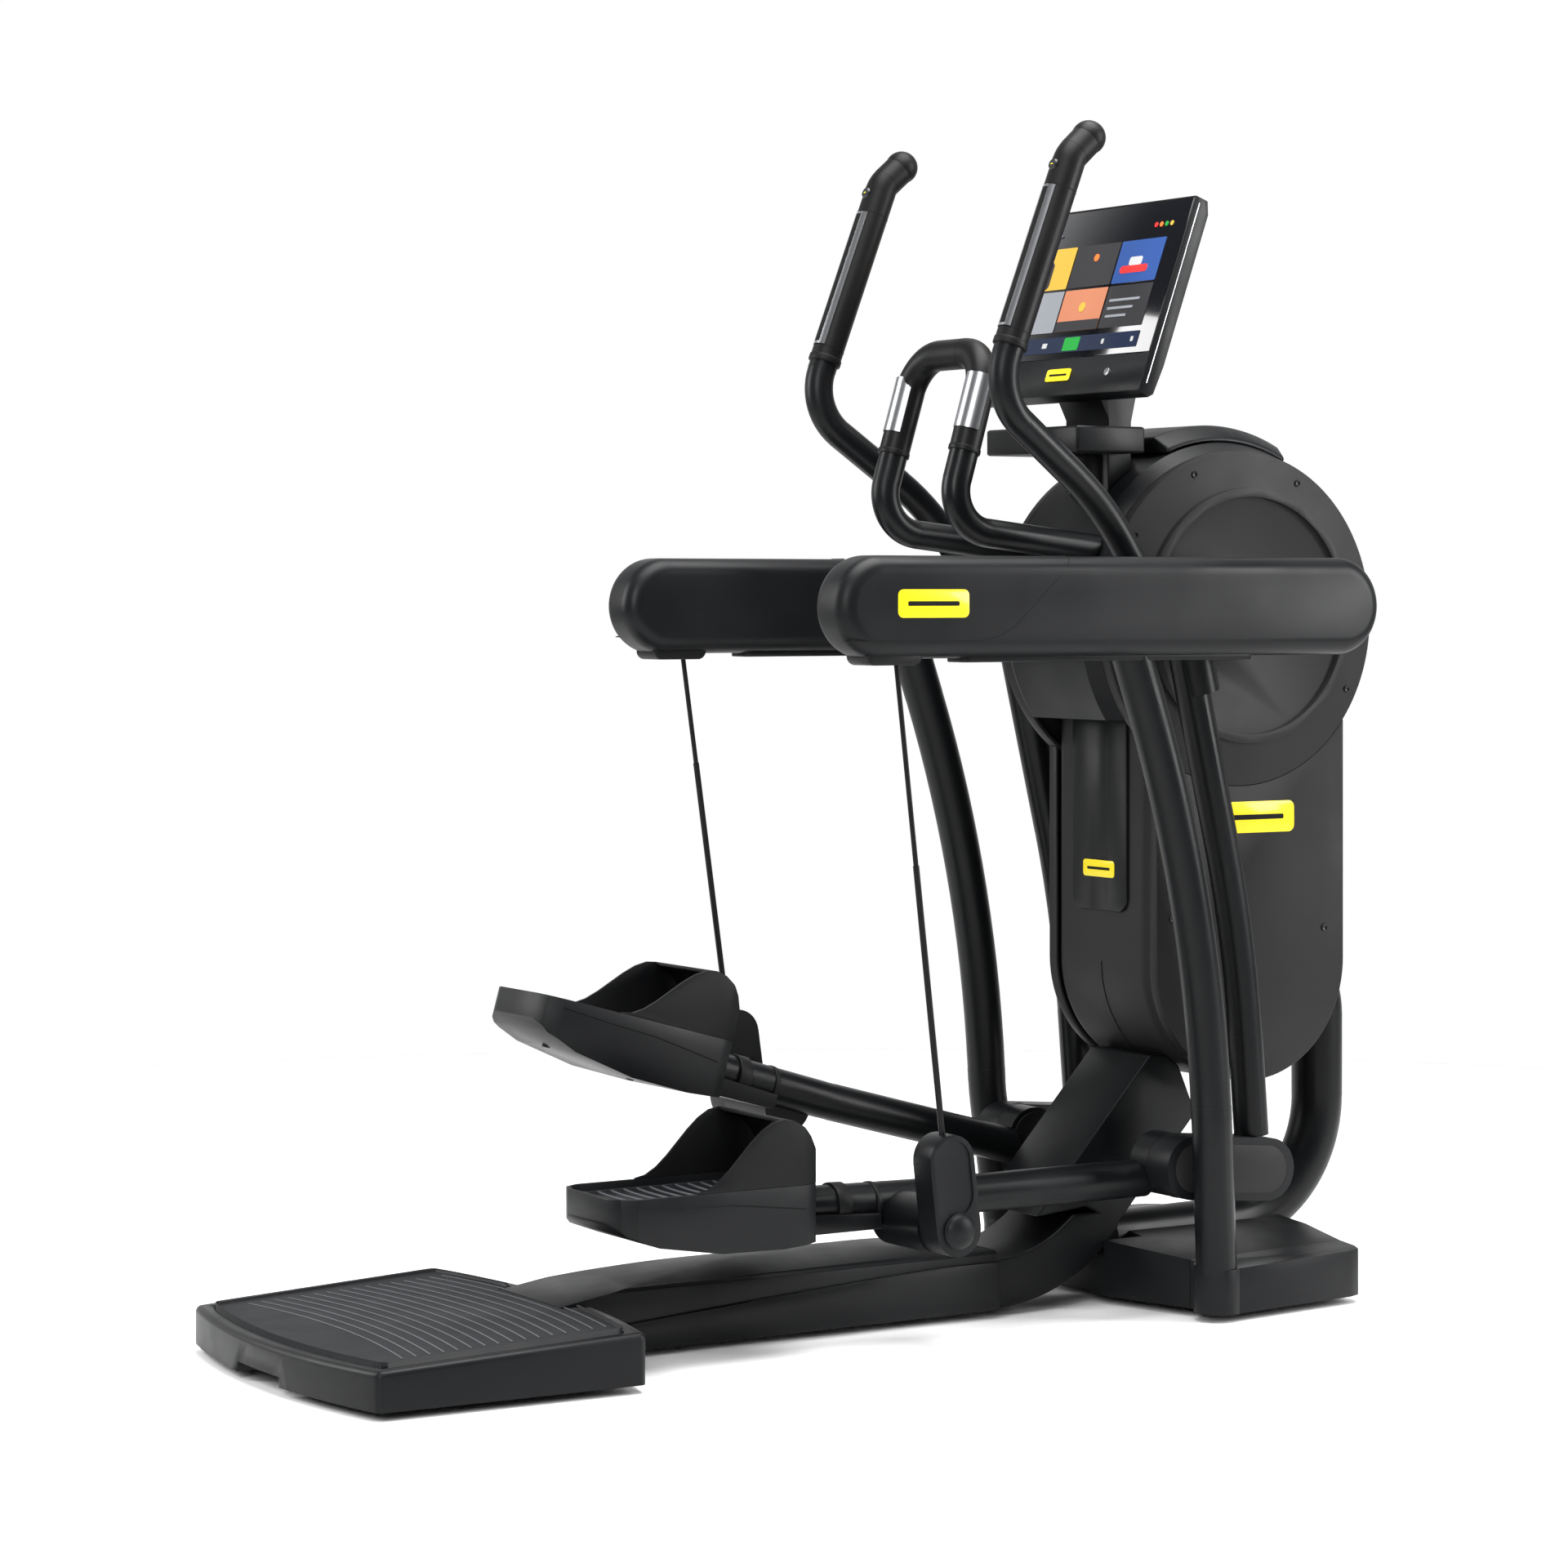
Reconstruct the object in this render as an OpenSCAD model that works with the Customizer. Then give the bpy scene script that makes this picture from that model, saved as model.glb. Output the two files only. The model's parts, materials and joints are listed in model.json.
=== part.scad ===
// Elliptical trainer with cable-hung pedals, swinging arms and a console.
// X points forward, Y to the user's left, Z up. The origin is on the floor,
// under the middle of the machine.

/* [Base] */
// Half of the overall length, from the step's rear edge to the front tube
half_len = 940; // [920:1:960]
// Half width of the rear step at its rear corners
step_half_w = 292; // [260:1:310]
// Height of the step's underside above the floor
foot_h = 12; // [8:1:20]
// Height of the step's top at its rear edge
step_rear_h = 66; // [55:1:75]
// Height of the step's top at its front edge
step_front_h = 84; // [76:1:100]
// Radius of the front legs' tube
leg_r = 30; // [24:0.5:34]

/* [Beams] */
// Distance of each side beam's middle plane from the centre
beam_y = 297; // [290:1:310]
// Height of the beams' middle line
beam_z = 1059; // [1040:1:1080]
// Half of the beams' height
beam_r = 72.5; // [65:0.5:80]
// Thickness of a beam across the machine
beam_w = 84; // [70:1:90]

/* [Tower] */
// Radius of the round end at the bottom of the tower
tower_r = 182; // [170:1:190]
// Radius of the round drum covers
disc_r = 256; // [245:1:270]
// Distance of the tower's outer faces from the centre
tower_half_w = 140; // [130:1:145]

/* [Arms] */
// Distance of the lower arm tubes from the centre
arm_y = 220; // [215:1:224]
// Radius of the lower arm tube
arm_r = 26; // [22:0.5:27]
// Radius of the upper arm tube
upper_r = 22; // [18:0.5:23]
// Radius of the rubber grip on the upper arm
grip_r = 24; // [22:0.5:25]

/* [Pedals] */
// Angle that the pedal lever lifts from its lowest to its highest place
lift = 15.5; // [12:0.5:18]
// Radius of the pedal lever's tube
lever_r = 28; // [22:0.5:28]
// Half width of a pedal
pedal_half_w = 90; // [75:1:92]
// Distance of a pedal's middle from the centre
pedal_y = 139; // [136:1:142]
// Radius of the suspension cable's sleeve
cable_r = 4.5; // [4:0.1:5]

/* [Console] */
// Width of the display
display_w = 420; // [380:1:440]
// Angle that the display leans back
display_lean = 20; // [10:1:25]

/* [Hidden] */
$fn = 64;
tube_black = [0.07, 0.075, 0.08];
satin_black = [0.10, 0.105, 0.11];
warm_grey = [0.23, 0.22, 0.22];
glass_black = [0.02, 0.02, 0.025];
steel = [0.62, 0.63, 0.65];

// Arm hinge, pedal lever hinge and cable link pin, seen from the side
arm_hinge = [470, beam_z];
lever_hinge = [460, 224];
link_pin_rest = [-4, 178];
cable_top = [-101, 1010];
drum_x = 636;
drum_z = 1040;
tower_x = 658;
tower_z = 512;
wall = 4;
gap = 0.4;

// Turns a side-view offset about the lever hinge by an angle, rear end up
function lifted(p, a) = [
    lever_hinge.x + (p.x - lever_hinge.x) * cos(a) + (p.y - lever_hinge.y) * sin(a),
    lever_hinge.y + (p.y - lever_hinge.y) * cos(a) - (p.x - lever_hinge.x) * sin(a)
];
function unit(v) = v / norm(v);
// Side-view place of the link pin on the right (-1), lowest, or left (1), highest
function side_lift(side) = side > 0 ? lift : 0;
function link_pin(side) = lifted(link_pin_rest, side_lift(side));
function cable_len(side) = norm(cable_top - link_pin(side));
function cable_tilt(side) = atan2(cable_top.x - link_pin(side).x, cable_top.y - link_pin(side).y);

// Draws the children in a frame at p whose Z runs along u and X towards n
module frame_at(p, u, n) {
    m = cross(u, n);
    multmatrix([[n.x, m.x, u.x, p.x], [n.y, m.y, u.y, p.y], [n.z, m.z, u.z, p.z], [0, 0, 0, 1]])
        children();
}

function any_side(u) = unit(cross(u, abs(u.z) < 0.9 ? [0, 0, 1] : [1, 0, 0]));
// Turn angle and tangent length at the corner k of a path
function turn(path, k) = acos(min(1, unit(path[k] - path[k - 1]) * unit(path[k + 1] - path[k])));
function tangent(path, bends, k) =
    k <= 0 || k >= len(path) - 1 ? 0 : bends[k - 1] * tan(turn(path, k) / 2);

pipe_lap = 1;
pipe_step = 0.25;
// Round tube along a path of corners, each corner rounded by its bend radius
module pipe(path, r, bends) {
    for (k = [0 : len(path) - 2]) {
        u = unit(path[k + 1] - path[k]);
        start = path[k] + u * tangent(path, bends, k);
        length = norm(path[k + 1] - path[k]) - tangent(path, bends, k) - tangent(path, bends, k + 1);
        // A straight stretch is a hair thicker than its bends and laps over their ends
        low_lap = k > 0 ? pipe_lap : 0;
        high_lap = k < len(path) - 2 ? pipe_lap : 0;
        frame_at(start - u * low_lap, u, any_side(u))
            cylinder(r = r + pipe_step, h = length + low_lap + high_lap);
    }
    if (len(path) > 2)
        for (k = [1 : len(path) - 2]) {
            u = unit(path[k] - path[k - 1]);
            w = unit(path[k + 1] - path[k]);
            a = turn(path, k);
            frame_at(path[k] - u * tangent(path, bends, k), u, unit(w - u * (u * w)))
                translate([bends[k - 1], 0, 0])
                    rotate([90, 0, 0])
                        rotate([0, 0, 180 - a])
                            rotate_extrude(angle = a, $fn = 96)
                                translate([bends[k - 1], 0]) circle(r = r, $fn = 32);
        }
}

// Cylinder along Y from y0 to y1, at a side-view place
module cross_cyl(p, r, y0, y1) {
    translate([p.x, max(y0, y1), p.y]) rotate([90, 0, 0]) cylinder(r = r, h = abs(y1 - y0));
}

// Extrudes a side-view outline along Y from y0 to y1
module side_plate(y0, y1) {
    translate([0, max(y0, y1), 0]) rotate([90, 0, 0]) linear_extrude(abs(y1 - y0)) children();
}

// Slot shape between two places with round ends
module slot2d(a, b, r) {
    d = unit(b - a);
    n = [-d.y, d.x] * (r + pipe_step);
    union() {
        translate(a) circle(r = r);
        translate(b) circle(r = r);
        polygon([a - n, b - n, b + n, a + n]);
    }
}

// Turns the children about the lever hinge by the side's lift
module at_lift(side) {
    translate([lever_hinge.x, 0, lever_hinge.y])
        rotate([0, side_lift(side), 0])
            translate([-lever_hinge.x, 0, -lever_hinge.y])
                children();
}

// Frame whose origin is the link pin and whose Z runs up the cable
module at_link(side) {
    translate([link_pin(side).x, 0, link_pin(side).y]) rotate([0, cable_tilt(side), 0]) children();
}

// Mirrors the children, drawn for the left side, over to the right when s is -1
module on_side(s) {
    mirror([0, s < 0 ? 1 : 0, 0]) children();
}

// ---- Base ----

// Step outline, seen from above
module step_outline(inset) {
    intersection() {
        polygon([[-950, -step_half_w - 3 + inset], [-440, -step_half_w - 22 + inset],
                 [-440, step_half_w + 22 - inset], [-950, step_half_w + 3 - inset]]);
        translate([-half_len + 1170 + inset, 0]) circle(r = 1170, $fn = 180);
        translate([-470 - 1267 - inset, 0]) circle(r = 1267, $fn = 180);
    }
}

module step_platform() {
    slope = atan((step_front_h - step_rear_h) / 430);
    color(satin_black)
    difference() {
        translate([0, 0, foot_h]) linear_extrude(90) step_outline(0);
        translate([-900, -400, step_rear_h]) rotate([0, -slope, 0]) translate([-60, 0, 0]) cube([600, 800, 60]);
        translate([-900, 0, step_rear_h]) rotate([0, -slope, 0]) translate([900, 0, -3])
            linear_extrude(20) step_outline(26);
        translate([-900, 0, 0]) linear_extrude(26) polygon([[-60, -70], [25, -60], [25, 60], [-60, 70]]);
        for (x = [-850, -540], y = [-230, 230])
            translate([x, y, 0]) cylinder(r = 6, h = 30);
        translate([-520, -96, foot_h - 1]) cube([100, 192, 200]);
    }
}

module step_tread() {
    slope = atan((step_front_h - step_rear_h) / 430);
    color(tube_black)
    translate([-900, 0, step_rear_h]) rotate([0, -slope, 0]) translate([900, 0, -3])
        difference() {
            linear_extrude(4) step_outline(26.5);
            translate([-520, -98, -1]) cube([100, 196, 10]);
        }
}

module levelling_feet() {
    color(tube_black)
    for (p = [[-850, -230], [-850, 230], [-540, -230], [-540, 230],
              [530, -195], [530, 195], [700, -185], [700, 185]])
        translate([p.x, p.y, 0]) {
            cylinder(r1 = 20, r2 = 18, h = 11.9);
            translate([0, 0, 11.9]) cylinder(r = 5.9, h = 14);
        }
}

module base_beam() {
    color(satin_black)
    difference() {
        side_plate(-92, 92)
            polygon([[-519.5, foot_h], [222, foot_h], [222, 84], [120, 84], [0, 78], [-200, 66], [-400, 52], [-519.5, 44]]);
        side_plate(-88, 88) polygon([[-530, 90], [230, 90], [230, 60], [-530, 20]]);
    }
}

module base_top_cover() {
    color(satin_black)
    intersection() {
        side_plate(-87.6, 87.6)
            polygon([[-519.5, 21.5], [221.5, 60], [221.5, 100], [130, 109], [30, 115], [-80, 118],
                     [-190, 117], [-290, 112], [-390, 102], [-460, 93], [-519.5, 84]]);
        // Arched top across the machine
        translate([-530, 0, -62]) rotate([0, 90, 0]) cylinder(r = 180, h = 760, $fn = 160);
    }
}

// Curved elbow from the floor beam into the sloping column
module base_column() {
    color(satin_black)
    difference() {
        side_plate(-76, 76)
            union() {
                difference() {
                    intersection() {
                        translate([232, 300]) circle(r = 288, $fn = 160);
                        translate([222.5, 0]) square([230, 140]);
                    }
                    translate([222.5, 300]) circle(r = 216, $fn = 120);
                }
                polygon([[300, 142], [392, 150], [452, 120], [600, 278], [560, 370], [512, 372]]);
            }
        side_plate(-200, 200) translate([tower_x, tower_z]) circle(r = tower_r + gap);
    }
}

module cross_base() {
    color(satin_black)
    difference() {
        translate([0, 0, foot_h]) linear_extrude(100)
            polygon([[424, -76.6], [470, -230], [772, -214], [796, -100],
                     [796, 100], [772, 214], [470, 230], [424, 76.6]]);
        base_roof();
        for (p = [[530, -195], [530, 195], [700, -185], [700, 185]])
            translate([p.x, p.y, 0]) cylinder(r = 6, h = 30);
        side_plate(-76.6, 76.6) union() {
            translate([232, 300]) circle(r = 288.5, $fn = 160);
            polygon([[300, 70], [470, 70], [600, 200], [300, 200]]);
        }
        front_tube(40.1);
    }
}

// Space above the front base, whose top slopes down to both sides
module base_roof() {
    for (s = [-1, 1])
        translate([380, 0, 103]) rotate([s < 0 ? 4.5 : -4.5, 0, 0])
            translate([0, s < 0 ? -400 : 0, 0]) cube([500, 400, 80]);
}

module foot_covers() {
    color(satin_black)
    for (s = [-1, 1])
        on_side(s) difference() {
            translate([0, 0, foot_h]) linear_extrude(90)
                union() {
                    polygon([[772.5, 214.6], [770, 250], [762, 268], [740, 277], [508, 304],
                             [492, 298], [484, 280], [470.5, 230.6]]);
                    // Bulge round the leg's foot
                    translate(leg_foot) circle(r = leg_r + 5);
                }
            base_roof();
            leg_tube(leg_r + 0.12);
        }
}

// ---- Frame tubes ----

leg_y = 292;
leg_foot = [488, 274];
module leg_tube(r) {
    pipe([[leg_foot.x, leg_foot.y, 30], [464, leg_y, 285], [445, leg_y, 627], [313, leg_y, 1000]],
         r, [400, 2150]);
}

module leg(s) {
    color(tube_black)
    on_side(s) difference() {
        leg_tube(leg_r);
        translate([200, leg_y - 100, beam_z - beam_r - pipe_step - 0.1]) cube([300, 200, 200]);
    }
}
module right_leg() { leg(-1); }
module left_leg() { leg(1); }

module front_tube(r) {
    pipe([[480, 0, 86], [half_len - 40, 0, 92], [half_len - 40, 0, 470], [760, 0, 560]], r, [190, 110]);
}

module front_loop() {
    color(tube_black)
    difference() {
        front_tube(40);
        side_plate(-200, 200) translate([tower_x, tower_z]) circle(r = tower_r + gap);
        side_plate(-200, 200) polygon([[tower_x, 500], [tower_x + tower_r + gap, 500],
                                       [tower_x + tower_r + gap, 700], [tower_x, 700]]);
    }
}

// ---- Tower ----

module tower_outline(r) {
    translate([tower_x, tower_z]) circle(r = r, $fn = 128);
    translate([tower_x - r, tower_z]) square([2 * r, drum_z - tower_z]);
}

module tower_shell() {
    color(warm_grey)
    difference() {
        side_plate(-120, 120) tower_outline(tower_r);
        side_plate(-130, 130) tower_outline(tower_r - wall);
        translate([300, -200, floor_z - gap]) cube([700, 400, 200]);
        // Opening for the rear insert
        translate([460, -70.5, 590]) cube([40, 141, 300]);
    }
}

module tower_cover(s) {
    color(warm_grey)
    on_side(s) difference() {
        side_plate(120.4, tower_half_w) tower_outline(tower_r - 1);
        side_plate(100, tower_half_w - 5) tower_outline(tower_r - 6);
        side_plate(100, 200) translate([drum_x, drum_z]) circle(r = disc_r + gap, $fn = 128);
    }
}
module right_tower_cover() { tower_cover(-1); }
module left_tower_cover() { tower_cover(1); }

module tower_insert() {
    color(tube_black)
    intersection() {
        difference() {
            translate([471, -70, 590.5]) cube([14, 140, floor_z - 591]);
            translate([380, 0, 580]) cylinder(r = 94, h = 400, $fn = 128);
        }
        // Rounded lower corners
        translate([460, 0, 0]) rotate([90, 0, 90]) linear_extrude(40) {
            translate([-70, 612]) square([140, 400]);
            translate([-48.5, 590.5]) square([97, 40]);
            for (y = [-48.5, 48.5]) translate([y, 612]) circle(r = 21.5, $fn = 64);
        }
    }
}

// Flat underside of the drum's shell, on top of the tower
floor_z = 886;

module drum_shell() {
    color(tube_black)
    difference() {
        union() {
            cross_cyl([drum_x, drum_z], disc_r + 14, -95, 95);
            for (s = [-1, 1])
                translate([drum_x, s * 95, drum_z]) rotate([s * -90, 0, 0])
                    cylinder(r1 = disc_r + 14, r2 = disc_r, h = 25);
        }
        translate([300, -200, floor_z - 200]) cube([700, 400, 200]);
        // Hollow inside, over a floor that is open into the tower
        difference() {
            cross_cyl([drum_x, drum_z], disc_r - 6, -130, 130);
            translate([300, -200, floor_z - 200]) cube([700, 400, 204]);
        }
        translate([tower_x - tower_r + wall, -116, floor_z - 10]) cube([2 * (tower_r - wall), 232, 20]);
    }
}

module drum_cover(s) {
    color(warm_grey)
    on_side(s) difference() {
        union() {
            cross_cyl([drum_x, drum_z], disc_r, 120.4, tower_half_w);
            cross_cyl([drum_x + 18, drum_z + 4], 196, tower_half_w - 0.1, tower_half_w + 6);
        }
        cross_cyl([drum_x, drum_z], disc_r - 6, 110, tower_half_w - 6);
        cross_cyl([drum_x + 18, drum_z + 4], 182, tower_half_w - 2, tower_half_w + 10);
        cross_cyl(arm_hinge, 45.2, 100, 200);
    }
}
module right_drum_cover() { drum_cover(-1); }
module left_drum_cover() { drum_cover(1); }

module top_cowl() {
    color(tube_black)
    difference() {
        union() {
            cross_cyl([drum_x, drum_z], disc_r + 42, -64, 64);
            for (s = [-1, 1])
                translate([drum_x, s * 64, drum_z]) rotate([s * -90, 0, 0])
                    cylinder(r1 = disc_r + 42, r2 = disc_r + 22, h = 28);
        }
        cross_cyl([drum_x, drum_z], disc_r + 14.2, -130, 130);
        side_plate(-130, 130) polygon([[drum_x, drum_z], [drum_x + 184, 1400], [1200, 1400], [1200, 600],
                                       [200, 600], [200, 1400], [drum_x - 145, 1400]]);
    }
}

// Fixed shaft that carries both arms and both side beams
module cross_shaft() {
    color(steel)
    cross_cyl(arm_hinge, 45, -beam_y + beam_w / 2 + 0.2, beam_y - beam_w / 2 - 0.2);
}

// ---- Beams ----

beam_rear = [-214 + beam_r, beam_z];
beam_front = [753 - beam_r, beam_z];

module beam(s) {
    y_in = beam_y - beam_w / 2;
    y_out = beam_y + beam_w / 2;
    color(satin_black)
    on_side(s) difference() {
        side_plate(y_in, y_out) slot2d(beam_rear, beam_front, beam_r);
        // Space for the cable and its pulley
        side_plate(beam_y - 15, beam_y + 15)
            polygon([[-150, 940], [-45, 940], [-45, 1106], [-150, 1106]]);
        // Rear cover's seat
        side_plate(y_out - 6, y_out + 6) cover_outline(0);
        cross_cyl(cable_pulley, 6.05, 200, 330);
    }
}
cable_pulley = [cable_top.x + 28, 1078];

module cover_outline(inset) {
    intersection() {
        slot2d(beam_rear, beam_front, beam_r - inset);
        polygon([[-300, 1013 + inset], [20, 1013 + inset], [70, 1025 + inset], [175 - inset, 1140], [-300, 1140]]);
    }
}
module right_beam() { beam(-1); }
module left_beam() { beam(1); }

module beam_cover(s) {
    color(satin_black)
    on_side(s) side_plate(beam_y + beam_w / 2 - 5.8, beam_y + beam_w / 2 + 0.5) cover_outline(0.8);
}
module right_beam_cover() { beam_cover(-1); }
module left_beam_cover() { beam_cover(1); }

module beam_pulley(s) {
    color(steel)
    on_side(s) difference() {
        union() {
            cross_cyl(cable_pulley, 24, beam_y - 12, beam_y + 12);
            cross_cyl(cable_pulley, 6, beam_y - 34, beam_y + 30);
        }
        translate([cable_pulley.x, beam_y, cable_pulley.y]) rotate([90, 0, 0])
            rotate_extrude() translate([27, 0]) circle(r = 7);
    }
}
module right_beam_pulley() { beam_pulley(-1); }
module left_beam_pulley() { beam_pulley(1); }

// ---- Fixed handlebar ----

bar_y = 95;
module handlebar() {
    color(tube_black)
    difference() {
        for (s = [0, 1]) mirror([0, s, 0])
            pipe([[440, -bar_y, 1140], [122, -bar_y, 1176], [156, -bar_y, 1290]], 21.5, [62]);
        cross_cyl([drum_x, drum_z], disc_r + 14.2, -200, 200);
    }
}

module handlebar_grip() {
    color(tube_black)
    pipe([[156, -bar_y, 1290.3], [200, -bar_y + 2, 1437], [200, bar_y - 2, 1437], [156, bar_y, 1290.3]],
         23, [58, 58]);
}

// ---- Console ----

module console_neck() {
    color(tube_black)
    difference() {
        union() {
            side_plate(-55, 55)
                polygon([[448, 1230], [492, 1230], [492, 1340], [505, 1395], [484, 1440],
                         [440, 1430], [425, 1390], [448, 1345]]);
            translate([472, 0, 1230]) cylinder(r = 48, h = 60);
        }
        cross_cyl([drum_x, drum_z], disc_r + 14.2, -130, 130);
        display_space();
    }
}

module console_tray() {
    color(satin_black)
    difference() {
        translate([343, -120, 1290.2]) cube([127, 240, 40]);
        translate([350, -112, 1312]) cube([90, 224, 30]);
        translate([447.8, -55.2, 1270]) cube([70, 110.4, 80]);
    }
}

// Display frame: origin at the lower edge of the case, Z up the leaning face
module at_display() {
    translate([390, 0, 1380]) rotate([0, display_lean, 0]) children();
}
display_h = 314;
case_d = 32;
module display_space() {
    at_display() translate([-0.2, -display_w / 2, -6]) cube([case_d + 0.4, display_w, display_h]);
}

module display_case() {
    color(satin_black)
    at_display() difference() {
        side_plate(-display_w / 2, display_w / 2)
            polygon([[0, 0], [20, -4], [28, 4], [case_d, 50], [case_d, display_h - 20],
                     [case_d - 8, display_h], [0, display_h]]);
        translate([-1, -display_w / 2 + 3, 62]) cube([4, display_w - 6, display_h - 65]);
        translate([9, -display_w / 2 + 6, 10]) cube([17, display_w - 12, display_h - 24]);
    }
}

module display_glass() {
    color(glass_black)
    at_display() translate([0.2, -display_w / 2 + 3.3, 62.3]) cube([2.7, display_w - 6.6, display_h - 65.6]);
}

// ---- Drive inside the tower ----

wheel_p = [drum_x + 40, drum_z - 10];
fly_p = [tower_x, 560];

module drive_axle() {
    color(steel)
    {
        cross_cyl(wheel_p, 10, -133, 133);
        cross_cyl(fly_p, 10, -133, 133);
    }
}

module drive_wheel() {
    color(steel)
    difference() {
        union() {
            cross_cyl(wheel_p, 125, -8, 8);
            cross_cyl(wheel_p, 24, -30, 30);
        }
        cross_cyl(wheel_p, 10.05, -40, 40);
        for (a = [0 : 60 : 300])
            cross_cyl(wheel_p + 75 * [cos(a), sin(a)], 22, -20, 20);
    }
}

module flywheel() {
    color(steel)
    difference() {
        union() {
            cross_cyl(fly_p, 140, -70, -30);
            cross_cyl(fly_p, 40, -30, 12);
        }
        cross_cyl(fly_p, 10.05, -90, 40);
    }
}

module drive_belt() {
    d = fly_p - wheel_p;
    side_a = acos((125.5 - 40.5) / norm(d));
    base = atan2(d.y, d.x);
    function on(c, r, a) = c + (r + pipe_step) * [cos(a), sin(a)];
    // Straight runs of the belt, between circles round the two pulleys
    module run(r_wheel, r_fly) {
        polygon([on(wheel_p, r_wheel, base - side_a), on(fly_p, r_fly, base - side_a),
                 on(fly_p, r_fly, base + side_a), on(wheel_p, r_wheel, base + side_a)]);
    }
    color(tube_black)
    side_plate(-7, 7)
        difference() {
            union() {
                translate(wheel_p) circle(r = 129);
                translate(fly_p) circle(r = 44);
                run(129, 44);
            }
            translate(wheel_p) circle(r = 125.5);
            translate(fly_p) circle(r = 40.5);
            run(125.5, 40.5);
        }
}

// ---- Swinging arms ----

grip_low = [128.6, 1434];
grip_high = [236.6, 1714];

module arm(s) {
    color(tube_black)
    on_side(s) difference() {
        union() {
            // Lower tube down to the capsule
            pipe([[594, arm_y, 262], [571, arm_y, 560], [452, arm_y, 1062]], arm_r, [1900]);
            // Socket round its top
            pipe([[493, arm_y, 930], [462, arm_y, 1058]], arm_r + 7, []);
            // Upper tube out to the grip
            pipe([[421, 221.3, 1038], [318, 226, 1204], [101, 250, 1362.4],
                  [grip_low.x, 250, grip_low.y]], upper_r, [400, 85]);
            // Hub
            cross_cyl(arm_hinge, 64, arm_y - 25, arm_y + 25);
            side_plate(arm_y - 16, arm_y + 16)
                polygon([[388, 1075], [430, 1112], [480, 1118], [520, 1030], [500, 985], [452, 980]]);
        }
        cross_cyl(arm_hinge, 45.05, 150, 290);
    }
}
module right_arm() { arm(-1); }
module left_arm() { arm(1); }

module grip(s) {
    color(satin_black)
    on_side(s) difference() {
        union() {
            pipe([[grip_low.x + 0.1, 250, grip_low.y + 0.3], [grip_high.x, 250, grip_high.y],
                  [grip_high.x + 34, 248, grip_high.y + 30]], grip_r, [42]);
            translate([grip_high.x + 34, 248, grip_high.y + 30]) sphere(r = grip_r + 1.5);
        }
        button_place() translate([0, 0, -2.6]) cylinder(r = 9.1, h = 20);
    }
}
module right_grip() { grip(-1); }
module left_grip() { grip(1); }

// Button on the rear of the grip, pressed forward
module button_place() {
    translate([grip_high.x - 8, 250, grip_high.y - 21])
        rotate([0, -90 + 21, 0]) translate([0, 0, grip_r]) children();
}
module button(s) {
    color(glass_black)
    on_side(s) button_place() translate([0, 0, -0.2]) cylinder(r1 = 9, r2 = 7.5, h = 3);
}
module right_button() { button(-1); }
module left_button() { button(1); }

module capsule(s) {
    color(satin_black)
    on_side(s) difference() {
        side_plate(198.5, 251) slot2d(lever_hinge, lever_hinge + [144, -12], 47);
        pipe([[594, arm_y, 261.5], [571, arm_y, 560]], arm_r + 0.1, []);
        cross_cyl(lever_hinge, lever_pin_r + 0.05, 150, 246);
    }
}
module right_capsule() { capsule(-1); }
module left_capsule() { capsule(1); }

// Floating drum of the lever hinge and of the link hinge
lever_pin_r = 38;
link_pin_r = 33;
module lever_pin(s) {
    color(steel)
    on_side(s) cross_cyl(lever_hinge, lever_pin_r, 158, 245.6);
}
module right_lever_pin() { lever_pin(-1); }
module left_lever_pin() { lever_pin(1); }

// ---- Pedals ----

module lever(s) {
    color(tube_black)
    on_side(s) at_lift(s) difference() {
        union() {
            pipe([[-190, 150, 205], [60, 150, 200], [430, 168, 203]], lever_r, [400]);
            cross_cyl(lever_hinge, 47, 157, 198);
            cross_cyl(link_pin_rest, 40, 150, 270);
        }
        cross_cyl(lever_hinge, lever_pin_r + 0.05, 100, 230);
        cross_cyl(link_pin_rest, link_pin_r + 0.05, 178, 290);
    }
}
module right_lever() { lever(-1); }
module left_lever() { lever(1); }

pedal_rear = -505;
pedal_front = -173;
rim_z = 248;
cup_top = 342;
cup_x = -240;
pedal_wall = 5;

module pedal_plan(inset) {
    h = pedal_half_w - inset;
    polygon([[pedal_rear + inset, -h + 34], [pedal_rear + 9 + inset, -h + 12], [pedal_rear + 30 + inset, -h],
             [pedal_front - 30 - inset, -h], [pedal_front - 9 - inset, -h + 9], [pedal_front - inset, -h + 30],
             [pedal_front - inset, h - 30], [pedal_front - 9 - inset, h - 9], [pedal_front - 30 - inset, h],
             [pedal_rear + 30 + inset, h], [pedal_rear + 9 + inset, h - 12], [pedal_rear + inset, h - 34]]);
}

// Side outline of the toe cup: a rising rim, then a round nose down to the front
function cup_rise() = [for (t = [0 : 0.125 : 1])
    [cup_x - 140 * (1 - t), rim_z + 1 + (cup_top - rim_z - 1) * (1 - cos(180 * t)) / 2]];
function cup_nose(inset) = [for (a = [75 : -15 : 0])
    [cup_x + (pedal_front - cup_x - inset) * cos(a), 250 + (cup_top - 250 - inset) * sin(a)]];

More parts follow.
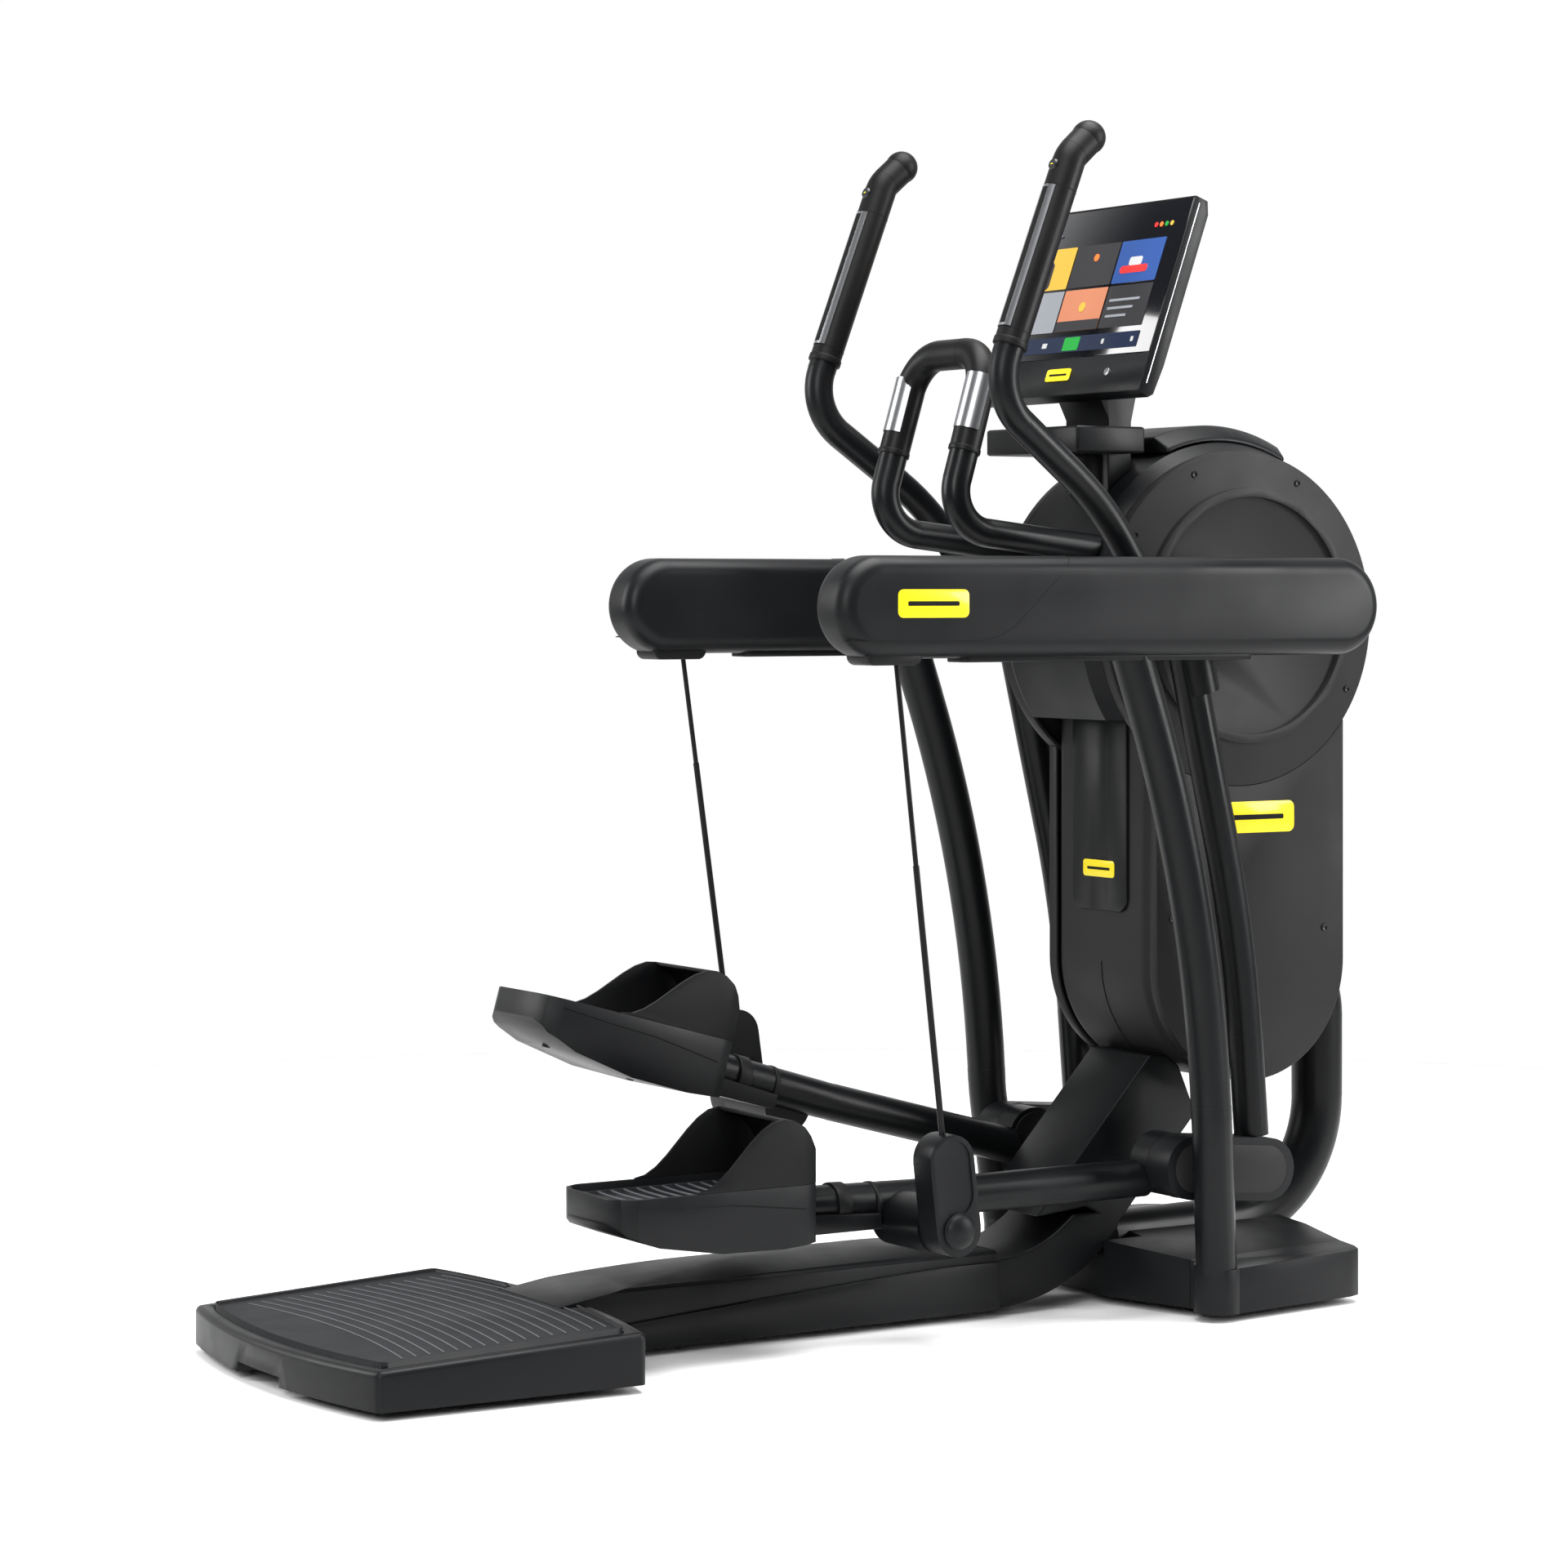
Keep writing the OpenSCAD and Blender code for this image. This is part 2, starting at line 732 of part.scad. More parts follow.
module pedal(s) {
    color(satin_black)
    on_side(s) at_lift(s) difference() {
        union() {
            intersection() {
                translate([0, pedal_y, 150]) linear_extrude(100) pedal_plan(0);
                side_plate(-250, 250)
                    polygon([[pedal_rear, rim_z], [pedal_front, rim_z], [pedal_front, 165], [-240, 160],
                             [-340, 162], [-440, 178], [pedal_rear + 16, 196], [pedal_rear, 212]]);
            }
            // Narrow tray under the lever tube
            side_plate(112, 188) polygon([[-174, 196], [-50, 190], [-50, 168], [-174, 168]]);
        }
        // Foot space
        translate([0, pedal_y, 0]) intersection() {
            translate([0, 0, 236]) linear_extrude(60) pedal_plan(pedal_wall);
            translate([-600, -200, 0]) cube([420, 400, 400]);
        }
        pipe([[-192, 150, 205], [0, 150, 201]], lever_r + 0.1, []);
    }
}
module right_pedal() { pedal(-1); }
module left_pedal() { pedal(1); }

module toe_cup(s) {
    color(tube_black)
    on_side(s) at_lift(s) difference() {
        intersection() {
            translate([0, pedal_y, 200]) linear_extrude(200) pedal_plan(0);
            side_plate(-250, 250)
                polygon(concat(cup_rise(), cup_nose(0), [[pedal_front, rim_z + 0.1], [cup_x - 140, rim_z + 0.1]]));
        }
        intersection() {
            translate([0, pedal_y, 200]) linear_extrude(200) pedal_plan(pedal_wall);
            side_plate(-250, 250)
                polygon(concat([[-420, 230], [-420, 400], [cup_x - 14, 400], [cup_x - 2, cup_top - pedal_wall]],
                               cup_nose(pedal_wall), [[pedal_front - pedal_wall, 230]]));
        }
    }
}
module right_toe_cup() { toe_cup(-1); }
module left_toe_cup() { toe_cup(1); }

// ---- Cable links ----

module link_pin_piece(s) {
    color(satin_black)
    on_side(s) translate([link_pin(s).x, 0, link_pin(s).y]) {
        cross_cyl([0, 0], link_pin_r, 178.1, 268);
        cross_cyl([0, 0], 12, 260, 317);
        intersection() {
            cross_cyl([0, 0], 26, 317, 332);
            translate([0, 292, 0]) sphere(r = 38);
        }
    }
}
module right_link_pin() { link_pin_piece(-1); }
module left_link_pin() { link_pin_piece(1); }

module cable_link(s) {
    color(satin_black)
    on_side(s) at_link(s) difference() {
        side_plate(272, 316.6) slot2d([0, 0], [0, 100], 37);
        cross_cyl([0, 0], 12.05, 260, 330);
        side_plate(314, 320) slot2d([0, 50], [0, 100], 30);
        translate([0, beam_y, 90]) cylinder(r = cable_r + 0.05, h = 60);
    }
}
module right_cable_link() { cable_link(-1); }
module left_cable_link() { cable_link(1); }

sleeve_top = 520;
module cable_sleeve(s) {
    color(tube_black)
    on_side(s) at_link(s) translate([0, beam_y, 92]) difference() {
        cylinder(r = cable_r, h = sleeve_top - 92);
        translate([0, 0, 20]) cylinder(r = cable_r - 0.8, h = sleeve_top);
    }
}
module right_cable_sleeve() { cable_sleeve(-1); }
module left_cable_sleeve() { cable_sleeve(1); }

module cable(s) {
    color(tube_black)
    on_side(s) at_link(s) translate([0, beam_y, 300]) cylinder(r = cable_r - 0.9, h = cable_len(s) + 10 - 300);
}
module right_cable() { cable(-1); }
module left_cable() { cable(1); }

step_platform();
step_tread();
levelling_feet();
base_beam();
base_top_cover();
base_column();
cross_base();
foot_covers();
right_leg();
left_leg();
front_loop();
tower_shell();
right_tower_cover();
left_tower_cover();
tower_insert();
drum_shell();
right_drum_cover();
left_drum_cover();
top_cowl();
cross_shaft();
right_beam();
left_beam();
right_beam_cover();
left_beam_cover();
handlebar();
handlebar_grip();
console_neck();
console_tray();
display_case();
display_glass();
drive_axle();
drive_wheel();
flywheel();
right_beam_pulley();
left_beam_pulley();
right_arm();
left_arm();
right_grip();
left_grip();
right_button();
left_button();
right_capsule();
left_capsule();
right_lever_pin();
left_lever_pin();
right_lever();
left_lever();
right_pedal();
left_pedal();
right_toe_cup();
left_toe_cup();
right_link_pin();
left_link_pin();
right_cable_link();
left_cable_link();
right_cable_sleeve();
left_cable_sleeve();
right_cable();
left_cable();
drive_belt();
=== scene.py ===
import json
import math

import bmesh
import bpy
from mathutils import Matrix, Vector

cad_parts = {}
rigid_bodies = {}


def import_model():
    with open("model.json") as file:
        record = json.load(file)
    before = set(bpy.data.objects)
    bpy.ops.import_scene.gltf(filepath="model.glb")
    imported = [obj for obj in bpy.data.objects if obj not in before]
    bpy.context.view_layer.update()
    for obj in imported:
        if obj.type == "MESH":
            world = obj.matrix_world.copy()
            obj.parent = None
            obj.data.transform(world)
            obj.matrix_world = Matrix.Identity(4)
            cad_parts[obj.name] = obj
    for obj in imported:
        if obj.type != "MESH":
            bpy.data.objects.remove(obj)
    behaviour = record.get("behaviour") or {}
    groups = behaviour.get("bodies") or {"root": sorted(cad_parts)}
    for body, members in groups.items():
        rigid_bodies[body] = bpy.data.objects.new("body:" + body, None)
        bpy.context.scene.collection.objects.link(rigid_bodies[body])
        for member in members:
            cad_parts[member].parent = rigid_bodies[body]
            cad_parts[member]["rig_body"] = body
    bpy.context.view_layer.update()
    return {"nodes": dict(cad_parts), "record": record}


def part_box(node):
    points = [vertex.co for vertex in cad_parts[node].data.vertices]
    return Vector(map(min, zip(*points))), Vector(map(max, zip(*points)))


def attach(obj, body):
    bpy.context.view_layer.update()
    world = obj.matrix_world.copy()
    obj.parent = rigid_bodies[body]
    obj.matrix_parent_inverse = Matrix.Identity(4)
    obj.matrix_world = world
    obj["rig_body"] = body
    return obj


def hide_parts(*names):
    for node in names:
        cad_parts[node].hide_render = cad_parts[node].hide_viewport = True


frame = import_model()
nodes = frame["nodes"]

SIDES = (("right", -1), ("left", 1))


# ---------------------------------------------------------------- places
def mid(node):
    low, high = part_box(node)
    return (low + high) / 2


ARM_HINGE = Vector((0.470, 0, 1.059))
LEVER_HINGE = Vector((0.460, 0, 0.224))
LINK_PIN = {s: mid(f"{s}_link_pin") for s, _ in SIDES}
DRUM = mid("right_drum_cover")
COVER_Y = 0.140
BEAM_Y = 0.297
BEAM_HALF_W = 0.042
PEDAL_LIFT = math.radians(15.5)
DISPLAY_LEAN = math.radians(20)


# ---------------------------------------------------------------- effects
def group(name, outputs, inputs):
    tree = bpy.data.node_groups.new(name, "ShaderNodeTree")
    for label, kind, value in inputs:
        sock = tree.interface.new_socket(label, in_out="INPUT", socket_type=kind)
        sock.default_value = value
    for label, kind in outputs:
        tree.interface.new_socket(label, in_out="OUTPUT", socket_type=kind)
    return tree, tree.nodes.new("NodeGroupInput"), tree.nodes.new("NodeGroupOutput")


def noise(tree, coords, scale, detail=3.0):
    n = tree.nodes.new("ShaderNodeTexNoise")
    n.inputs["Detail"].default_value = detail
    if isinstance(scale, bpy.types.NodeSocket):
        tree.links.new(scale, n.inputs["Scale"])
    else:
        n.inputs["Scale"].default_value = scale
    tree.links.new(coords, n.inputs["Vector"])
    return n.outputs["Fac"]


def remap(tree, value, low, high, to_low, to_high):
    m = tree.nodes.new("ShaderNodeMapRange")
    m.inputs["From Min"].default_value = low
    m.inputs["From Max"].default_value = high
    for label, v in (("To Min", to_low), ("To Max", to_high)):
        if isinstance(v, bpy.types.NodeSocket):
            tree.links.new(v, m.inputs[label])
        else:
            m.inputs[label].default_value = v
    tree.links.new(value, m.inputs["Value"])
    return m.outputs["Result"]


def make_moulded_grain():
    """Fine pebbled grain of moulded plastic and powder paint, with faint handling marks."""
    tree, gin, gout = group(
        "Moulded grain",
        [("Height", "NodeSocketFloat"), ("Roughness", "NodeSocketFloat"), ("Color", "NodeSocketColor")],
        [("Color", "NodeSocketColor", (0.02, 0.02, 0.02, 1)), ("Roughness", "NodeSocketFloat", 0.45),
         ("Spread", "NodeSocketFloat", 0.08), ("Grain", "NodeSocketFloat", 900.0)],
    )
    coord = tree.nodes.new("ShaderNodeTexCoord").outputs["Object"]
    grain = noise(tree, coord, gin.outputs["Grain"], 2.0)
    tree.links.new(grain, gout.inputs["Height"])
    marks = noise(tree, coord, 7.0, 5.0)
    low = tree.nodes.new("ShaderNodeMath")
    low.operation = "SUBTRACT"
    high = tree.nodes.new("ShaderNodeMath")
    high.operation = "ADD"
    for m in (low, high):
        tree.links.new(gin.outputs["Roughness"], m.inputs[0])
        tree.links.new(gin.outputs["Spread"], m.inputs[1])
    rough = remap(tree, marks, 0.35, 0.68, low.outputs[0], high.outputs[0])
    tree.links.new(rough, gout.inputs["Roughness"])
    tone = tree.nodes.new("ShaderNodeMix")
    tone.data_type = "RGBA"
    tone.blend_type = "MULTIPLY"
    tone.inputs["Factor"].default_value = 1.0
    tree.links.new(gin.outputs["Color"], tone.inputs["A"])
    shade = tree.nodes.new("ShaderNodeCombineColor")
    lightness = remap(tree, noise(tree, coord, 3.0, 4.0), 0.3, 0.7, 0.86, 1.12)
    for ch in ("Red", "Green", "Blue"):
        tree.links.new(lightness, shade.inputs[ch])
    tree.links.new(shade.outputs["Color"], tone.inputs["B"])
    tree.links.new(tone.outputs["Result"], gout.inputs["Color"])
    return tree


def make_brushing():
    """Fine lines drawn round or along a metal piece."""
    tree, gin, gout = group(
        "Brushing", [("Height", "NodeSocketFloat"), ("Roughness", "NodeSocketFloat")],
        [("Across", "NodeSocketVector", (20.0, 700.0, 20.0)), ("Roughness", "NodeSocketFloat", 0.3)],
    )
    coord = tree.nodes.new("ShaderNodeTexCoord").outputs["Object"]
    stretch = tree.nodes.new("ShaderNodeVectorMath")
    stretch.operation = "MULTIPLY"
    tree.links.new(coord, stretch.inputs[0])
    tree.links.new(gin.outputs["Across"], stretch.inputs[1])
    lines = noise(tree, stretch.outputs[0], 1.0, 3.0)
    tree.links.new(lines, gout.inputs["Height"])
    add = tree.nodes.new("ShaderNodeMath")
    add.operation = "ADD"
    tree.links.new(gin.outputs["Roughness"], add.inputs[0])
    tree.links.new(remap(tree, lines, 0.3, 0.7, -0.06, 0.08), add.inputs[1])
    tree.links.new(add.outputs[0], gout.inputs["Roughness"])
    return tree


MOULDED = make_moulded_grain()
BRUSHING = make_brushing()


# ---------------------------------------------------------------- materials
def principled(name, color, roughness, metallic=0.0, coat=0.0, coat_roughness=0.1, specular=0.5):
    mat = bpy.data.materials.new(name)
    mat.use_nodes = True
    shader = mat.node_tree.nodes["Principled BSDF"]
    shader.inputs["Base Color"].default_value = (*color, 1)
    shader.inputs["Roughness"].default_value = roughness
    shader.inputs["Metallic"].default_value = metallic
    shader.inputs["Coat Weight"].default_value = coat
    shader.inputs["Coat Roughness"].default_value = coat_roughness
    shader.inputs["Specular IOR Level"].default_value = specular
    mat.diffuse_color = (*color, 1)
    return mat, shader


def bump(mat, shader, height, strength, distance):
    b = mat.node_tree.nodes.new("ShaderNodeBump")
    b.inputs["Strength"].default_value = strength
    b.inputs["Distance"].default_value = distance
    mat.node_tree.links.new(height, b.inputs["Height"])
    mat.node_tree.links.new(b.outputs["Normal"], shader.inputs["Normal"])


def moulded(name, color, roughness, spread=0.08, grain=900.0, depth=0.00006, strength=0.5, coat=0.0):
    mat, shader = principled(name, color, roughness, coat=coat, specular=0.16)
    g = mat.node_tree.nodes.new("ShaderNodeGroup")
    g.node_tree = MOULDED
    g.inputs["Color"].default_value = (*color, 1)
    g.inputs["Roughness"].default_value = roughness
    g.inputs["Spread"].default_value = spread
    g.inputs["Grain"].default_value = grain
    mat.node_tree.links.new(g.outputs["Color"], shader.inputs["Base Color"])
    mat.node_tree.links.new(g.outputs["Roughness"], shader.inputs["Roughness"])
    bump(mat, shader, g.outputs["Height"], strength, depth)
    return mat


def brushed(name, color, roughness, across=(20.0, 700.0, 20.0)):
    mat, shader = principled(name, color, roughness, metallic=1.0)
    g = mat.node_tree.nodes.new("ShaderNodeGroup")
    g.node_tree = BRUSHING
    g.inputs["Across"].default_value = across
    g.inputs["Roughness"].default_value = roughness
    mat.node_tree.links.new(g.outputs["Roughness"], shader.inputs["Roughness"])
    bump(mat, shader, g.outputs["Height"], 0.25, 0.00004)
    return mat


MATERIALS = {
    "frame_paint": moulded("Black powder paint",
        (0.0036, 0.0040, 0.0046), 0.36, 0.06, 1500.0, 0.00004, 0.45),
    "satin_plastic": moulded("Black grained plastic",
        (0.0042, 0.0046, 0.0053), 0.43, 0.07, 1100.0, 0.00007, 0.55),
    "pedal_plastic": moulded("Black pedal plastic",
        (0.0034, 0.0036, 0.0041), 0.50, 0.08, 900.0, 0.00008, 0.6),
    "warm_grey_plastic": moulded("Warm grey plastic",
        (0.0125, 0.0120, 0.0119), 0.50, 0.06, 1200.0, 0.00006, 0.5),
    "tread_rubber": moulded("Tread rubber", (0.0085, 0.0092, 0.0105), 0.66, 0.08, 800.0, 0.0001, 0.7),
    "foot_rubber": moulded("Foot rubber", (0.008, 0.008, 0.008), 0.75, 0.08, 700.0, 0.0001, 0.6),
    "grip_rubber": moulded("Soft grip rubber",
        (0.0032, 0.0033, 0.0037), 0.46, 0.06, 1400.0, 0.00006, 0.5),
    "belt_rubber": moulded("Belt rubber", (0.015, 0.015, 0.015), 0.6),
    "cable_jacket": moulded("Cable jacket", (0.005, 0.005, 0.006), 0.38, 0.05, 1500.0, 0.00003, 0.3),
    "button_plastic": moulded("Button plastic",
        (0.020, 0.020, 0.022), 0.28, 0.04, 1500.0, 0.00002, 0.2, coat=0.3),
    "screen_glass": principled("Screen glass",
        (0.004, 0.0045, 0.006), 0.09, coat=0.35, coat_roughness=0.04)[0],
    "cast_metal": brushed("Turned flywheel metal", (0.20, 0.20, 0.21), 0.42, (300.0, 300.0, 300.0)),
    "steel": brushed("Brushed steel", (0.50, 0.50, 0.51), 0.30),
}
SENSOR = principled("Silver sensor plate", (0.42, 0.43, 0.45), 0.30, metallic=1.0)[0]
# Rib edges are coloured a lighter grey than the black tread and pedals: a painted highlight where the ribs catch
# the light.
RIB_HIGHLIGHT = moulded("Rib edge painted highlight", (0.075, 0.080, 0.088), 0.42, 0.08, 900.0)
SEAM = moulded("Shadow gap", (0.004, 0.004, 0.004), 0.8)
BADGE = moulded("Yellow badge", (0.80, 0.64, 0.012), 0.42, 0.05, 1300.0, 0.00003, 0.2, coat=0.25)
SCREW = brushed("Blackened screw", (0.030, 0.030, 0.032), 0.36)


def glow(name, color, strength=0.55):
    mat, shader = principled(name, color, 0.2, coat=0.6)
    shader.inputs["Emission Color"].default_value = (*color, 1)
    shader.inputs["Emission Strength"].default_value = strength
    return mat


for name, node in nodes.items():
    slot_name = next(s["material_slot"] for s in frame["record"]["subparts"] if s["node"] == name)
    node.data.materials.clear()
    node.data.materials.append(MATERIALS[slot_name])


# ---------------------------------------------------------------- making pieces
def finish_piece(bm, name, mat, body, smooth=35):
    mesh = bpy.data.meshes.new(name)
    bm.normal_update()
    bm.to_mesh(mesh)
    bm.free()
    mesh.materials.append(mat)
    for p in mesh.polygons:
        p.use_smooth = True
    mesh.set_sharp_from_angle(angle=math.radians(smooth))
    obj = bpy.data.objects.new(name, mesh)
    bpy.context.scene.collection.objects.link(obj)
    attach(obj, body)
    return obj


def softened(node, width, segments=2, angle=28, above=-1.0, clamp=True):
    """A copy of a CAD node with its edges rounded, shown in its place."""
    src = nodes[node]
    bm = bmesh.new()
    bm.from_mesh(src.data)
    bmesh.ops.remove_doubles(bm, verts=bm.verts, dist=2e-5)
    bmesh.ops.dissolve_limit(bm, angle_limit=math.radians(0.8), verts=bm.verts, edges=bm.edges)
    edges = [e for e in bm.edges
             if len(e.link_faces) == 2 and e.calc_face_angle(0.0) > math.radians(angle)
             and max(v.co.z for v in e.verts) > above]
    bmesh.ops.bevel(bm, geom=edges, offset=width, offset_type="OFFSET", affect="EDGES",
                    segments=segments, profile=0.5, clamp_overlap=clamp, material=-1)
    slot_name = next(s["material_slot"] for s in frame["record"]["subparts"] if s["node"] == node)
    piece = finish_piece(bm, f"{node}_skin", MATERIALS[slot_name],
                         src["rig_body"], 40)
    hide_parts(node)
    return piece


SOFT_EDGES = {
    "base_top_cover": 0.002, "base_beam": 0.0015, "base_column": 0.010,
    "cross_base": 0.006, "foot_covers": 0.004,
    "right_tower_cover": 0.005, "left_tower_cover": 0.005, "tower_insert": 0.002,
    "right_drum_cover": 0.004, "left_drum_cover": 0.004, "top_cowl": 0.004,
    "console_neck": 0.006, "console_tray": 0.004, "display_case": 0.004, "display_glass": 0.0008,
    "right_capsule": 0.007, "left_capsule": 0.007, "right_cable_link": 0.006, "left_cable_link": 0.006,
    "right_pedal": 0.004, "left_pedal": 0.004, "right_toe_cup": 0.0022, "left_toe_cup": 0.0022,
}
for node_name, width in SOFT_EDGES.items():
    softened(node_name, width, 4 if width >= 0.006 else 2)
softened("step_platform", 0.009, 5, above=0.045, clamp=False)


# ---------------------------------------------------------------- shapes
def turned(bm, matrix):
    bmesh.ops.transform(bm, matrix=matrix, verts=bm.verts)


def rounded_edges(bm, edges, width, segments):
    bmesh.ops.bevel(bm, geom=edges, offset=width, offset_type="OFFSET", affect="EDGES",
                    segments=segments, profile=0.5, clamp_overlap=True, material=-1)


def sharp_edges(bm, angle=30):
    return [e for e in bm.edges
            if len(e.link_faces) == 2 and e.calc_face_angle(0.0) > math.radians(angle)]


def stadium(a, b, radius, y_low, y_high, width, segments=6, steps=64):
    """A slab across the machine with two round ends, centred on the side-view places a and b."""
    bm = bmesh.new()
    bmesh.ops.create_circle(bm, cap_ends=True, segments=steps, radius=radius,
                            matrix=Matrix.Rotation(math.pi / steps, 4, "Z"))
    half = (b - a).length / 2
    for v in bm.verts:
        v.co.x += half if v.co.x > 0 else -half
    face = bm.faces[:]
    out = bmesh.ops.extrude_face_region(bm, geom=face)
    top = [v for v in out["geom"] if isinstance(v, bmesh.types.BMVert)]
    bmesh.ops.translate(bm, verts=top, vec=(0, 0, y_high - y_low))
    bmesh.ops.recalc_face_normals(bm, faces=bm.faces)
    if width:
        rounded_edges(bm, [e for e in sharp_edges(bm, 60)], width, segments)
    tilt = math.atan2(b.z - a.z, b.x - a.x)
    centre = (a + b) / 2
    turned(bm, Matrix.Translation((centre.x, y_high, centre.z))
           @ Matrix.Rotation(-tilt, 4, "Y") @ Matrix.Rotation(math.pi / 2, 4, "X"))
    return bm


def along(start, end):
    """A frame at start whose Z runs to end."""
    way = (end - start)
    return Matrix.Translation(start) @ way.to_track_quat("Z", "Y").to_matrix().to_4x4()


def sleeve(start, end, radius, width=0.0012, steps=40):
    """A round collar from start to end."""
    bm = bmesh.new()
    length = (end - start).length
    bmesh.ops.create_cone(bm, cap_ends=True, segments=steps, radius1=radius, radius2=radius, depth=length)
    turned(bm, Matrix.Translation((0, 0, length / 2)))
    rounded_edges(bm, sharp_edges(bm, 60), width, 3)
    turned(bm, along(start, end))
    return bm


def patch(start, end, radius, middle, span, thick=0.0009, steps=14):
    """A thin plate bent round part of a tube. middle is the way it faces."""
    bm = bmesh.new()
    way = (end - start).normalized()
    facing = (middle - way * middle.dot(way)).normalized()
    first = Matrix.Rotation(-span / 2, 3, way) @ facing * radius
    line = [bm.verts.new(start + first), bm.verts.new(end + first)]
    edge = bm.edges.new(line)
    bmesh.ops.spin(bm, geom=[*line, edge], cent=start, axis=way, angle=span, steps=steps)
    bmesh.ops.remove_doubles(bm, verts=bm.verts, dist=1e-6)
    bmesh.ops.recalc_face_normals(bm, faces=bm.faces)
    face = bm.faces[len(bm.faces) // 2]
    if face.normal.dot(face.calc_center_median() - start) < 0:
        bmesh.ops.reverse_faces(bm, faces=bm.faces)
    bmesh.ops.solidify(bm, geom=bm.faces[:], thickness=-thick)
    bmesh.ops.recalc_face_normals(bm, faces=bm.faces)
    return bm


def plate(size, width, segments=3, corner=0.0, corner_steps=6):
    """A flat plate, size.x by size.y by size.z thick, lying on Z = 0, with rounded corners and edges."""
    bm = bmesh.new()
    bmesh.ops.create_grid(bm, x_segments=1, y_segments=1, size=0.5)
    bmesh.ops.scale(bm, vec=(size[0], size[1], 1), verts=bm.verts)
    if corner:
        bmesh.ops.bevel(bm, geom=bm.verts[:], offset=corner, offset_type="OFFSET", affect="VERTICES",
                        segments=corner_steps, profile=0.5, clamp_overlap=True, material=-1)
    out = bmesh.ops.extrude_face_region(bm, geom=bm.faces[:])
    bmesh.ops.translate(bm, verts=[v for v in out["geom"] if isinstance(v, bmesh.types.BMVert)],
                        vec=(0, 0, size[2]))
    bmesh.ops.recalc_face_normals(bm, faces=bm.faces)
    if width:
        top = [e for e in sharp_edges(bm, 60) if all(v.co.z > size[2] / 2 for v in e.verts)]
        rounded_edges(bm, top, width, segments)
    return bm


def facing(place, normal, up=(0, 0, 1)):
    """A frame at place whose Z is normal and whose Y is as near to up as it can be."""
    z = Vector(normal).normalized()
    x = Vector(up).cross(z).normalized()
    y = z.cross(x)
    return Matrix.Translation(place) @ Matrix((x, y, z)).transposed().to_4x4()


def screw_head(name, place, normal, body, radius=0.006):
    bm = bmesh.new()
    bmesh.ops.create_cone(bm, cap_ends=True, segments=28, radius1=radius, radius2=radius * 0.88, depth=0.0022)
    top = max(bm.faces, key=lambda f: f.calc_center_median().z)
    bmesh.ops.inset_region(bm, faces=[top], thickness=radius * 0.42)
    bmesh.ops.translate(bm, verts=list(top.verts), vec=(0, 0, -0.0016))
    turned(bm, facing(place, normal))
    return finish_piece(bm, name, SCREW, body)


def line_piece(name, points, body, radius=0.0009, mat=None, cyclic=False):
    """A thin seam drawn along points on a surface."""
    curve = bpy.data.curves.new(name, "CURVE")
    curve.dimensions = "3D"
    curve.bevel_depth = radius
    curve.bevel_resolution = 2
    spline = curve.splines.new("POLY")
    spline.points.add(len(points) - 1)
    for p, q in zip(spline.points, points):
        p.co = (*q, 1)
    spline.use_cyclic_u = cyclic
    temp = bpy.data.objects.new(f"{name}_path", curve)
    mesh = bpy.data.meshes.new_from_object(temp)
    bpy.data.objects.remove(temp)
    bm = bmesh.new()
    bm.from_mesh(mesh)
    bpy.data.meshes.remove(mesh)
    bmesh.ops.remove_doubles(bm, verts=bm.verts, dist=1e-6)
    bmesh.ops.holes_fill(bm, edges=bm.edges)
    return finish_piece(bm, name, mat or SEAM, body)


def arc_points(centre, radius, start, end, steps, y):
    return [(centre[0] + radius * math.cos(math.radians(start + (end - start) * k / steps)), y,
             centre[1] + radius * math.sin(math.radians(start + (end - start) * k / steps)))
            for k in range(steps + 1)]


